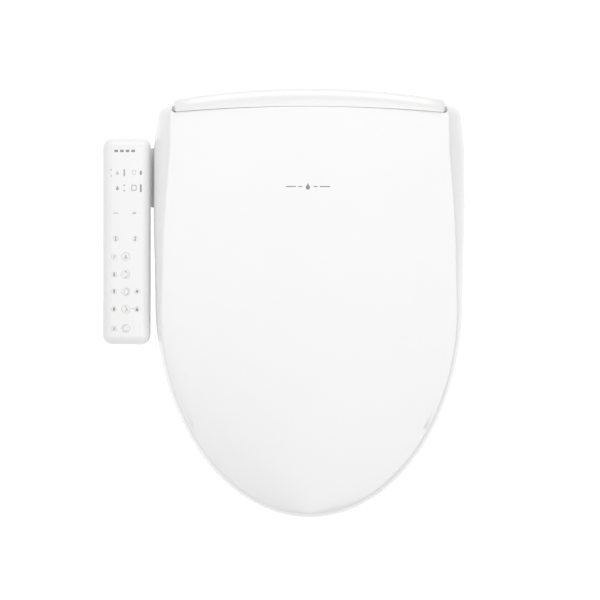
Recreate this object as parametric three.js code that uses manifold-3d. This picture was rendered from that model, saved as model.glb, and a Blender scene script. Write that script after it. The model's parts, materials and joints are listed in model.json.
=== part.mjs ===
// Electric bidet seat: lid, seat ring, rear housing with its works, and side control panel.
// Millimetres, +Z up, +X to the right seen from the front, +Y to the cistern.
// The origin is midway between the fixing-bolt slots, on the bowl's deck.
import * as THREE from 'three';
import { mergeVertices } from 'three/addons/utils/BufferGeometryUtils.js';
import Module from 'manifold-3d';

const wasm = await Module();
wasm.setup();

// ---------------------------------------------------------------- driving dimensions

const GAP = 0.3; // between touching pieces
const PLAN_CORNER_R = 14; // rear corners of lid and seat in plan
const WALL = 2.5; // housing wall
const FRONT_Y = -470; // front tip of the lid
const NOSE_Y = -201; // where the sides turn into the front half ellipse
const NOSE_HALF_WIDTH = 190.8;
const LID_TOP_Z = 140; // highest line of the lid, over the hinges
const LID_FALL = 72; // how far the lid's top comes down to its front tip
const LID_WALL = 3;
const LID_CROWN = 1.5;
const CREASE_FRONT = 5.5; // plan distance from crease to side, at the front
const CREASE_REAR = 20; // and at the hinges
const LID_EDGE_FRONT_Z = 46; // lower edge of the lid's skirt
const LID_EDGE_REAR_Z = 67;

const AXIS_Y = 10; // hinge axis of lid and seat, along X
const AXIS_Z = 121;
const EAR_R = 33.5; // lid's ear round the hinge axis
const EAR_INNER_X = 172.5;
const EAR_BACK_Y = AXIS_Y + EAR_R;
const EAR_KNUCKLE_R = 12; // thick place inside the ear that holds the pin
const ARM_KNUCKLE_R = 12; // end of the seat's hinge arm
const PIN_R = 5;
const BUSH_R = 8;
const RUN = 0.3; // running clearance of pins, on the radius

const STRIP_HALF = 167.5; // rear strip of the housing
const STRIP_BACK_Y = 61;
const STRIP_BACK_RADIUS = 985;
const SEAM_Y = 37.6; // line where the lid meets the strip
const SEAM_RADIUS = 1850;
const SEAM_GAP = 1;
const NOTCH_Y = 31; // front of the gap between ear and strip

const BODY_HALF = 184; // housing
const BODY_FRONT_Y = -112;
const BODY_BACK_Y = 56.5;
const BODY_BOTTOM_Z = 2;
const SPLIT_Z = 46; // between base tray and upper cover
const SHOULDER_Z = 84;
const HUMP_HALF = 140;
const HUMP_TOP_Z = 132;
const HUMP_FRONT_Y = -56;
const HUMP_BACK_Y = 18;
const BARREL_R = 12.3; // hump's round back, over the dampers
const ARC_X = [18, 36, 54, 72, 90, 108, 126, 144]; // corners of the faceted rear arc

const SEAT_REAR_Y = -116;
const SEAT_TOP_FRONT = 44;
const SEAT_TOP_RISE = 20;
const SEAT_BOTTOM_Z = 14;
const SEAT_SPLIT_Z = 24;
const BRIDGE_RAISE = 32; // clearance for the nozzle under the ring's rear bridge
const HOLE_Y = -262; // centre of the ring's opening
const HOLE_HALF_WIDTH = 104;
const HOLE_HALF_LENGTH = 128;
const ARM_INNER_X = 143.5;
const ARM_OUTER_X = 159.5;

const PLATE_TOP_Z = 8.5; // mounting plate
const PLATE_HALF = 96.5;
const BOLT_SPACING = 155;
const BOLT_SLOT_WIDTH = 11;
const BOLT_SLOT_LENGTH = 40;

const PANEL = { x: -226.2, y: -129, z: 76, tilt: 4, width: 59, length: 256, height: 44, corner: 12 };
const ARM = { y0: -86, y1: -12, z0: 36, z1: 53.5 }; // joins the panel to the housing
const NOZZLE = { y: -112, z: 29, slope: 25, radius: 6.5, length: 132 };
const GEAR = { module: 1, teeth: 12, y: 40 };
const BLOWER = { x: 65, y: -28, z: 62, radius: 32, half: 13 };
const PORT = { x0: 46, x1: 78, z0: 18, z1: 38 }; // warm-air outlet in the front wall

const rad = THREE.MathUtils.degToRad;
const smooth = THREE.MathUtils.smoothstep;

// ---------------------------------------------------------------- solids

function toSolid(geometry) {
  const bare = geometry.clone();
  bare.deleteAttribute('normal');
  bare.deleteAttribute('uv');
  const merged = mergeVertices(bare, 1e-4);
  const index = [];
  for (let i = 0; i < merged.index.count; i += 3) {
    const [a, b, c] = [0, 1, 2].map((k) => merged.index.getX(i + k));
    if (a !== b && b !== c && c !== a) index.push(a, b, c);
  }
  const positions = merged.attributes.position.array;
  const outward = signedVolume(positions, index) > 0 ? index : flipped(index);
  return new wasm.Manifold(new wasm.Mesh({
    numProp: 3,
    vertProperties: positions,
    triVerts: new Uint32Array(outward),
  }));
}

function signedVolume(positions, index) {
  const corner = (i) => new THREE.Vector3().fromArray(positions, index[i] * 3);
  let volume = 0;
  for (let i = 0; i < index.length; i += 3) {
    volume += corner(i).dot(corner(i + 1).cross(corner(i + 2)));
  }
  return volume / 6;
}

function flipped(index) {
  const turnedOver = [];
  for (let i = 0; i < index.length; i += 3) turnedOver.push(index[i], index[i + 2], index[i + 1]);
  return turnedOver;
}

function toGeometry(solid) {
  const mesh = solid.getMesh();
  const geometry = new THREE.BufferGeometry();
  geometry.setAttribute('position', new THREE.BufferAttribute(mesh.vertProperties, 3));
  geometry.setIndex(new THREE.BufferAttribute(mesh.triVerts, 1));
  geometry.computeVertexNormals();
  return geometry;
}

function join(solids) {
  return solids.reduce((whole, next) => whole.add(next));
}

function box(x0, x1, y0, y1, z0, z1) {
  const geometry = new THREE.BoxGeometry(x1 - x0, y1 - y0, z1 - z0);
  return toSolid(geometry.translate((x0 + x1) / 2, (y0 + y1) / 2, (z0 + z1) / 2));
}

// A box given by its half width, the same on both sides of the middle plane.
function midBox(half, y0, y1, z0, z1) {
  return box(-half, half, y0, y1, z0, z1);
}

// An outline of [x, y] points, extruded upwards.
function upright(points, z0, z1) {
  const shape = new THREE.Shape(points.map(([x, y]) => new THREE.Vector2(x, y)));
  const geometry = new THREE.ExtrudeGeometry(shape, { depth: z1 - z0, bevelEnabled: false });
  return toSolid(geometry.translate(0, 0, z0));
}

// Turns a drawing's across, up and depth into Y, Z and X.
const SIDE_VIEW = new THREE.Matrix4().makeBasis(
  new THREE.Vector3(0, 1, 0),
  new THREE.Vector3(0, 0, 1),
  new THREE.Vector3(1, 0, 0),
);

// A side profile of [y, z] points, extruded along X.
function sideways(points, x0, x1) {
  const shape = new THREE.Shape(points.map(([y, z]) => new THREE.Vector2(y, z)));
  const geometry = new THREE.ExtrudeGeometry(shape, { depth: x1 - x0, bevelEnabled: false });
  return toSolid(geometry.applyMatrix4(SIDE_VIEW).translate(x0, 0, 0));
}

// A lathe profile of [radius, distance] points, closed on its axis or on itself.
function turned(profile, segments) {
  return new THREE.LatheGeometry(profile.map(([r, d]) => new THREE.Vector2(r, d)), segments);
}

function turnedX(profile, y, z, segments = 24) {
  return toSolid(turned(profile, segments).rotateZ(-Math.PI / 2).translate(0, y, z));
}

function turnedY(profile, x, z, segments = 20) {
  return toSolid(turned(profile, segments).translate(x, 0, z));
}

function turnedZ(profile, x, y, segments = 16) {
  return toSolid(turned(profile, segments).rotateX(Math.PI / 2).translate(x, y, 0));
}

function discProfile(radius, d0, d1) {
  return [[0, d0], [radius, d0], [radius, d1], [0, d1]];
}

function ringProfile(inner, outer, d0, d1) {
  return [[inner, d0], [outer, d0], [outer, d1], [inner, d1], [inner, d0]];
}

// Joins rings of Vector3s, all with the same count of points. The first and last rings are
// closed by caps, but a last ring folded onto a line needs none.
function loft(rings, { loop = false, capEnd = true } = {}) {
  const count = rings[0].length;
  const index = [];
  const last = loop ? rings.length : rings.length - 1;
  for (let r = 0; r < last; r += 1) {
    const next = (r + 1) % rings.length;
    for (let i = 0; i < count; i += 1) {
      const j = (i + 1) % count;
      const [a, b, c, d] = [r * count + i, r * count + j, next * count + j, next * count + i];
      index.push(a, b, c, a, c, d);
    }
  }
  const cap = (ring, first, flip) => {
    const flat = ring.map((p) => new THREE.Vector2(p.x, p.y));
    for (const [a, b, c] of THREE.ShapeUtils.triangulateShape(flat, [])) {
      index.push(...(flip ? [first + a, first + c, first + b] : [first + a, first + b, first + c]));
    }
  };
  if (!loop) cap(rings[0], 0, THREE.ShapeUtils.area(rings[0]) > 0);
  if (!loop && capEnd) {
    const ring = rings[rings.length - 1];
    cap(ring, (rings.length - 1) * count, THREE.ShapeUtils.area(ring) < 0);
  }
  const geometry = new THREE.BufferGeometry();
  const positions = rings.flat().flatMap((p) => [p.x, p.y, p.z]);
  geometry.setAttribute('position', new THREE.Float32BufferAttribute(positions, 3));
  geometry.setIndex(index);
  return toSolid(geometry);
}

// ---------------------------------------------------------------- scene graph

const group = new THREE.Group();

const COLOURS = {
  white: { color: 0xf4f4f3, roughness: 0.3, metalness: 0 },
  panel: { color: 0xf1f1f0, roughness: 0.35, metalness: 0 },
  key: { color: 0xeeeeee, roughness: 0.4, metalness: 0 },
  grey: { color: 0xc9cbcc, roughness: 0.5, metalness: 0 },
  rubber: { color: 0xd8d8d6, roughness: 0.8, metalness: 0 },
  steel: { color: 0xc0c2c4, roughness: 0.3, metalness: 0.9 },
  board: { color: 0x2f6b3f, roughness: 0.6, metalness: 0 },
  brass: { color: 0xb89a55, roughness: 0.35, metalness: 0.9 },
  dark: { color: 0x3a3c3e, roughness: 0.6, metalness: 0 },
  silicone: { color: 0xdfe3e4, roughness: 0.5, metalness: 0 },
};

function add(name, solid, look, parent = group) {
  const mesh = new THREE.Mesh(toGeometry(solid), new THREE.MeshStandardMaterial(COLOURS[look]));
  mesh.name = name;
  parent.add(mesh);
}

const SIDES = [['left', -1], ['right', 1]];

function mirrored(solid, side) {
  return side > 0 ? solid : solid.mirror([1, 0, 0]);
}

// ---------------------------------------------------------------- lid

function seamY(x) {
  return SEAM_Y - (x * x) / (2 * SEAM_RADIUS);
}

// Half width of the lid in plan, from the hinges to the nose.
function halfWidth(y) {
  return NOSE_HALF_WIDTH + 2.1 * smooth(y, NOSE_Y, -87) - 4.3 * smooth(y, -20, 40);
}

function creaseInset(y) {
  const along = Math.min(1, Math.max(0, (y + 300) / 287));
  return CREASE_FRONT + (CREASE_REAR - CREASE_FRONT) * along ** 1.8;
}

function lidTopZ(y) {
  return LID_TOP_Z - LID_FALL * Math.max(0, (EAR_BACK_Y - y) / (EAR_BACK_Y - FRONT_Y)) ** 1.25;
}

function lidEdgeZ(y) {
  const along = Math.min(1, Math.max(0, (y - FRONT_Y) / (SEAT_REAR_Y - FRONT_Y)));
  return LID_EDGE_FRONT_Z + (LID_EDGE_REAR_Z - LID_EDGE_FRONT_Z) * along ** 1.3;
}

// One ring round the plan of lid or seat: inset(y) in from the outline, at height z(y).
function planRing(rearY, inset, z, widthScale = 1) {
  const side = [];
  for (const a of [0, 45, 90]) {
    const y = rearY - PLAN_CORNER_R * (1 - Math.cos(rad(a)));
    side.push([halfWidth(y) - PLAN_CORNER_R * (1 - Math.sin(rad(a))) - inset(y), y]);
  }
  for (let i = 1; i < 6; i += 1) {
    const y = rearY - PLAN_CORNER_R + ((NOSE_Y - rearY + PLAN_CORNER_R) * i) / 6;
    side.push([halfWidth(y) - inset(y), y]);
  }
  const noseLength = NOSE_Y - FRONT_Y;
  for (let a = 0; a < 90; a += 9) {
    const x = NOSE_HALF_WIDTH * Math.cos(rad(a));
    const y = NOSE_Y - noseLength * Math.sin(rad(a));
    const normal = new THREE.Vector2(x / NOSE_HALF_WIDTH ** 2, (y - NOSE_Y) / noseLength ** 2);
    normal.setLength(inset(y));
    side.push([x - normal.x, y - normal.y]);
  }
  const tip = [0, FRONT_Y + inset(FRONT_Y)];
  const left = side.map(([x, y]) => [-x, y]).reverse();
  return [...side, tip, ...left].map(([x, y]) => new THREE.Vector3(x * widthScale, y, z(y)));
}

// The lid's outer body, solid down to z = 0; inside = how far it is shrunk at its top and sides.
function lidBody(inside, rearY = EAR_BACK_Y) {
  const creaseZ = (y) => lidTopZ(y) - LID_CROWN - inside;
  const rings = [planRing(rearY, () => inside, () => 0)];
  for (const t of [1, 0.62, 0.34, 0.14, 0]) {
    const z = (y) => creaseZ(y) + (lidEdgeZ(y) - creaseZ(y)) * t;
    rings.push(planRing(rearY, (y) => inside + creaseInset(y) * (1 - t) ** 3, z));
  }
  for (const s of [0.66, 0.33, 0]) {
    const z = (y) => creaseZ(y) + LID_CROWN * (1 - s * s);
    rings.push(planRing(rearY, (y) => inside + creaseInset(y), z, s));
  }
  return loft(rings, { capEnd: false });
}

const ABOVE_ALL = 160;

// Side view of the lid: lower edge, round ears about the hinge axis, open top.
function lidSideProfile() {
  const points = [[FRONT_Y - 5, ABOVE_ALL], [FRONT_Y - 5, LID_EDGE_FRONT_Z]];
  for (let i = 0; i <= 6; i += 1) {
    const y = FRONT_Y + ((SEAT_REAR_Y - FRONT_Y) * i) / 6;
    points.push([y, lidEdgeZ(y)]);
  }
  points.push([-25, LID_EDGE_REAR_Z + 1]);
  for (let a = -65; a <= 58; a += 12) {
    points.push([AXIS_Y + EAR_R * Math.cos(rad(a)), AXIS_Z + EAR_R * Math.sin(rad(a))]);
  }
  points.push([AXIS_Y, ABOVE_ALL]);
  return sideways(points, -200, 200);
}

// The hollow of the lid: open below, and closed at the ears' round backs and inner sides.
function lidHollow() {
  const radius = EAR_R - LID_WALL;
  const points = [[FRONT_Y - 5, ABOVE_ALL], [FRONT_Y - 5, -5]];
  points.push([AXIS_Y + radius * Math.cos(rad(-44)), -5]);
  for (let a = -44; a <= 58; a += 17) {
    points.push([AXIS_Y + radius * Math.cos(rad(a)), AXIS_Z + radius * Math.sin(rad(a))]);
  }
  points.push([AXIS_Y, ABOVE_ALL]);
  const earWalls = SIDES.map(([, side]) =>
    mirrored(box(EAR_INNER_X, EAR_INNER_X + LID_WALL, 28, 60, 60, ABOVE_ALL), side));
  const underPlate = midBox(EAR_INNER_X, AXIS_Y, 60, -5, ABOVE_ALL);
  return sideways(points, -200, 200)
    .add(underPlate)
    .intersect(lidBody(LID_WALL, EAR_BACK_Y + 10))
    .subtract(join(earWalls));
}

// The round body, about the hinge axis, that the lid's curved rear edge sweeps out.
function sweptBody(grow) {
  const end = EAR_INNER_X + 2;
  const profile = [[0, -end]];
  const places = [...ARC_X, STRIP_HALF, end];
  for (const x of [...places.map((p) => -p).reverse(), 0, ...places]) {
    const edgeY = seamY(Math.min(Math.abs(x), STRIP_HALF)) - AXIS_Y;
    profile.push([Math.hypot(edgeY, LID_TOP_Z - AXIS_Z) + grow, x]);
  }
  profile.push([0, end]);
  return turnedX(profile, AXIS_Y, AXIS_Z, 72);
}

// What is cut away at the lid's back to leave room for the housing's strip. The plate's rear
// face follows the hinge circle, so it keeps its distance from the strip as the lid turns.
function lidNotch() {
  const points = [[-EAR_INNER_X, 70], [-EAR_INNER_X, NOTCH_Y + 2], [-EAR_INNER_X + 1, NOTCH_Y]];
  for (let i = -6; i <= 6; i += 1) {
    const x = (STRIP_HALF * i) / 6;
    points.push([x, seamY(x)]);
  }
  points.push([EAR_INNER_X - 1, NOTCH_Y], [EAR_INNER_X, NOTCH_Y + 2], [EAR_INNER_X, 70]);
  const plateEnd = sweptBody(0).intersect(midBox(STRIP_HALF, AXIS_Y, 70, 60, ABOVE_ALL));
  return upright(points, 60, ABOVE_ALL).subtract(plateEnd);
}

function makeLid() {
  const middle = midBox(EAR_INNER_X, AXIS_Y - 1, 60, 110, ABOVE_ALL);
  const outer = lidBody(0).intersect(lidSideProfile().add(middle));
  const knuckles = SIDES.map(([, side]) => {
    const disc = turnedX(discProfile(EAR_KNUCKLE_R, 171, 195), AXIS_Y, AXIS_Z, 32);
    return mirrored(disc, side).intersect(outer);
  });
  const bores = SIDES.map(([, side]) =>
    mirrored(turnedX(discProfile(PIN_R + RUN, 165, 178), AXIS_Y, AXIS_Z, 16), side));
  const shell = join([outer.subtract(lidHollow()), ...knuckles])
    .subtract(lidNotch())
    .subtract(join(bores));
  add('lid_shell', shell, 'white');

  for (const [name, side] of SIDES) {
    const x = 60 * side;
    const y = -425;
    const z1 = lidTopZ(y) - LID_CROWN - LID_WALL - GAP;
    const z0 = seatTopZ(y) + 0.5;
    const profile = [[0, z0], [4, z0], [5.5, z0 + 2], [4.5, z1], [0, z1]];
    add(`lid_bumper_${name}`, turnedZ(profile, x, y, 12), 'rubber');
    const pin = turnedX(discProfile(PIN_R, 110, 178 - GAP), AXIS_Y, AXIS_Z, 16);
    add(`lid_hinge_pin_${name}`, mirrored(pin, side), 'steel');
  }
}

// ---------------------------------------------------------------- seat ring

function seatTopZ(y) {
  const along = Math.max(0, (y - FRONT_Y) / (SEAT_REAR_Y - FRONT_Y));
  return SEAT_TOP_FRONT + SEAT_TOP_RISE * along ** 1.3;
}

// 1 on the narrow bridge behind the opening, 0 on the rest of the ring.
function bridge(x, y) {
  return (1 - smooth(Math.abs(x), 84, 112)) * smooth(y, -215, -165);
}

// Outline points of the ring seen from the opening's centre, at even angles.
const SEAT_STEPS = 52;
const seatOuter = planRing(SEAT_REAR_Y, () => 4.5, () => 0);

function outerPoint(angle) {
  const ray = new THREE.Vector2(Math.cos(angle), Math.sin(angle));
  let best = 0;
  seatOuter.forEach((p, i) => {
    const q = seatOuter[(i + 1) % seatOuter.length];
    const a = new THREE.Vector2(p.x, p.y - HOLE_Y);
    const edge = new THREE.Vector2(q.x - p.x, q.y - p.y);
    const across = ray.cross(edge);
    if (Math.abs(across) < 1e-9) return;
    const distance = a.cross(edge) / across;
    const along = a.cross(ray) / across;
    if (along >= -1e-6 && along <= 1.000001) best = Math.max(best, distance);
  });
  return ray.multiplyScalar(best);
}

function innerPoint(angle) {
  const power = 2.4;
  const [c, s] = [Math.cos(angle), Math.sin(angle)];
  const reach = (Math.abs(c / HOLE_HALF_WIDTH) ** power + Math.abs(s / HOLE_HALF_LENGTH) ** power);
  return new THREE.Vector2(c, s).multiplyScalar(reach ** (-1 / power));
}

// Sweeps a closed section round the ring. The section is made for the ring's width and
// bridge share at each place; its points give the distance in from the outer edge, and the
// height for the height of the ring's top there.
function sweepRing(section) {
  const rings = [];
  for (let i = 0; i < SEAT_STEPS; i += 1) {
    const angle = (2 * Math.PI * (i + 0.5)) / SEAT_STEPS;
    const out = outerPoint(angle);
    const inn = innerPoint(angle);
    const width = out.distanceTo(inn);
    const y = HOLE_Y + out.y;
    const share = bridge(out.x, y);
    rings.push(section(width, share).map(([d, z]) => {
      const p = out.clone().lerp(inn, d / width);
      return new THREE.Vector3(p.x, p.y + HOLE_Y, z(seatTopZ(p.y + HOLE_Y)));
    }));
  }
  return loft(rings, { loop: true });
}

function makeSeat() {
  const top = sweepRing((width, share) => {
    const split = SEAT_SPLIT_Z + GAP + BRIDGE_RAISE * 0.8 * share;
    const inset = Math.min(14, width * 0.3);
    return [
      [0, () => split],
      [0, (t) => t - 10],
      [2.5, (t) => t - 4],
      [inset, (t) => t],
      [width * 0.55, (t) => t - 1],
      [width * 0.85, (t) => t - 4.5],
      [width, (t) => t - 10],
      [width, () => split],
      [width - 2.6, () => split],
      [width - 3, (t) => t - 12],
      [width * 0.55, (t) => t - 5],
      [Math.max(4, inset), (t) => t - 4],
      [3, (t) => t - 12],
      [2.6, () => split],
    ];
  });
  const arms = SIDES.map(([, side]) => {
    const profile = [[-126, 52.5], [-116, 51.5]];
    for (let a = -65; a <= 118; a += 26) {
      const r = ARM_KNUCKLE_R;
      profile.push([AXIS_Y + r * Math.cos(rad(a)), AXIS_Z + r * Math.sin(rad(a))]);
    }
    profile.push([-112, 64], [-126, 60.5]);
    const arm = sideways(profile, ARM_INNER_X, ARM_OUTER_X);
    const bore = turnedX(discProfile(BUSH_R + GAP, 130, 170), AXIS_Y, AXIS_Z, 20);
    return mirrored(arm.subtract(bore), side);
  });
  add('seat_top_shell', join([top, ...arms]), 'white');

  const bottom = sweepRing((width, share) => {
    const split = SEAT_SPLIT_Z + BRIDGE_RAISE * 0.8 * share;
    const low = SEAT_BOTTOM_Z + BRIDGE_RAISE * share;
    const floor = Math.min(low + 2.5, split - 0.8);
    return [
      [0, () => split],
      [0, () => Math.min(low + 2, split - 0.5)],
      [2, () => low],
      [width - 2, () => low],
      [width, () => Math.min(low + 2, split - 0.5)],
      [width, () => split],
      [width - 2.5, () => split],
      [width - 2.5, () => floor],
      [2.5, () => floor],
      [2.5, () => split],
    ];
  });
  add('seat_bottom_shell', bottom, 'white');

  const heater = sweepRing((width) => {
    const inset = Math.min(18, width * 0.4);
    return [
      [inset, (t) => t - 7],
      [width - inset, (t) => t - 10.5],
      [width - inset, (t) => t - 11.3],
      [inset, (t) => t - 7.8],
    ];
  });
  add('seat_heater_pad', heater, 'dark');

  const places = { front: [78, -398], rear: [150, -170] };
  for (const [place, [px, py]] of Object.entries(places)) {
    for (const [name, side] of SIDES) {
      const shape = new THREE.Shape();
      shape.absarc(9, 0, 7, -Math.PI / 2, Math.PI / 2);
      shape.absarc(-9, 0, 7, Math.PI / 2, (3 * Math.PI) / 2);
      const options = {
        depth: SEAT_BOTTOM_Z - GAP - 1.5,
        bevelThickness: 1.5,
        bevelSize: 1.5,
        bevelOffset: -1.5,
        bevelSegments: 1,
        curveSegments: 6,
      };
      const foot = new THREE.ExtrudeGeometry(shape, options).translate(0, 0, 1.5);
      const flat = toSolid(foot).intersect(midBox(40, -40, 40, -1, SEAT_BOTTOM_Z - GAP));
      const solid = flat.rotate([0, 0, place === 'front' ? 30 * side : 90]);
      add(`seat_bumper_${place}_${name}`, solid.translate([px * side, py, 0]), 'rubber');
    }
  }
  for (const [name, side] of SIDES) {
    const bush = turnedX(ringProfile(PIN_R + RUN, BUSH_R, 126, ARM_OUTER_X), AXIS_Y, AXIS_Z, 20);
    add(`seat_hinge_bush_${name}`, mirrored(bush, side), 'steel');
  }
}

// ---------------------------------------------------------------- housing

// Plan of the housing, shrunk by inset.
function bodyOutline(inset) {
  const backY = (x) => BODY_BACK_Y - inset - (x * x) / (2 * STRIP_BACK_RADIUS);
  const rearR = 34;
  const frontR = 10;
  const right = [];
  for (let a = -90; a <= 0; a += 30) {
    const r = frontR - inset;
    right.push([
      BODY_HALF - frontR + r * Math.cos(rad(a)),
      BODY_FRONT_Y + frontR + r * Math.sin(rad(a)),
    ]);
  }
  const cornerX = BODY_HALF - rearR;
  for (let a = 0; a <= 75; a += 15) {
    const r = rearR - inset;
    right.push([cornerX + r * Math.cos(rad(a)), backY(cornerX) - r + r * Math.sin(rad(a))]);
  }
  for (const x of [...ARC_X].reverse()) right.push([x, backY(x)]);
  const left = right.map(([x, y]) => [-x, y]).reverse();
  return [...right, [0, backY(0)], ...left];
}

// The space behind the hump that the lid's rear edge turns through.
function pocket(grow) {
  const behindHump = midBox(EAR_INNER_X + 2, HUMP_BACK_Y - grow, 80, 60, ABOVE_ALL);
  const barrel = turnedX(discProfile(BARREL_R - grow, -HUMP_HALF, HUMP_HALF), AXIS_Y, AXIS_Z, 32);
  return sweptBody(SEAM_GAP + grow).intersect(behindHump).subtract(barrel);
}

// The crescent strip behind the lid, rounded down to its back.
function strip() {
  const ends = [[4, 0], [2.4, 0.4], [1.2, 1.2], [0.4, 2.6], [0, 5]];
  const half = ARC_X.map((x) => [x, 0, 0]);
  for (const [inward, drop] of ends) half.push([STRIP_HALF - inward, drop, 4 - inward]);
  const left = half.map(([x, ...rest]) => [-x, ...rest]).reverse();
  const sections = [...left, [0, 0, 0], ...half].map(([x, drop, tuck]) => {
    const front = seamY(x) - 2;
    const back = STRIP_BACK_Y - (x * x) / (2 * STRIP_BACK_RADIUS) - tuck * 0.6;
    const low = SHOULDER_Z - 8;
    const top = LID_TOP_Z - drop;
    const foot = Math.max(front - 14, HUMP_BACK_Y + 0.2);
    return [
      [foot, low],
      [foot, top - 16],
      [front, top - 4],
      [front, top],
      [back - 15, top],
      [back - 12, top - 0.2],
      [back - 9, top - 0.75],
      [back - 6, top - 1.7],
      [back - 3.4, top - 3],
      [back - 1, top - 4.6],
      [back - 0.2, top - 6.2],
      [back, top - 9],
      [back - 0.5, SHOULDER_Z + 8],
      [back - 5.5, SHOULDER_Z - 1],
      [back - 6, low],
    ].map(([y, z]) => new THREE.Vector3(y, z, x));
  });
  return loft(sections).transform(SIDE_VIEW.elements);
}

function shoulderBody(inset) {
  const profile = [
    [BODY_FRONT_Y - 5, 0],
    [BODY_FRONT_Y - 5, SPLIT_Z - inset],
    [BODY_FRONT_Y + inset * 0.4, SPLIT_Z - inset],
    [8, SHOULDER_Z - inset],
    [80, SHOULDER_Z - inset],
    [80, 0],
  ];
  return sideways(profile, -200, 200);
}

function humpBody(inset) {
  const profile = [
    [BODY_FRONT_Y + inset, 0],
    [BODY_FRONT_Y + inset, SPLIT_Z],
    [HUMP_FRONT_Y + inset, HUMP_TOP_Z - inset - 14],
    [HUMP_FRONT_Y + 16 + inset, HUMP_TOP_Z - inset - 7],
    [0, HUMP_TOP_Z - inset - 2.5],
    [AXIS_Y, HUMP_TOP_Z - inset],
    [HUMP_BACK_Y - inset, HUMP_TOP_Z - inset - 8],
    [HUMP_BACK_Y - inset, 0],
  ];
  const half = HUMP_HALF - inset;
  const barrel = turnedX(discProfile(BARREL_R - inset, -half, half), AXIS_Y, AXIS_Z, 32);
  return sideways(profile, -half, half).add(barrel);
}

const SCREW_X = 98;
const SCREW_Y = -97;

// Corner at the left rear, under the housing, where the water inlet looks out.
const INLET = { x: -155, y: 12, z: 18, x1: -130, top: 34 };

function inletNotch(grow) {
  return box(-200, INLET.x1 + grow, INLET.y - grow, 80, -5, INLET.top + grow);
}

function plateSpace(clear) {
  const wing = midBox(PLATE_HALF + clear, -52, 70, 4.5 - clear, PLATE_TOP_Z + clear);
  return wing.add(midBox(90 + clear, -52, 70, -5, PLATE_TOP_Z + clear));
}

// Opening for the nozzle, its tube and rack, through the front wall along the nozzle's slope.
function nozzlePassage() {
  const length = 40;
  return box(-9, 9, -length / 2, length, -8.5, 12)
    .rotate([NOZZLE.slope, 0, 0])
    .translate([0, NOZZLE.y, NOZZLE.z]);
}

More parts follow.
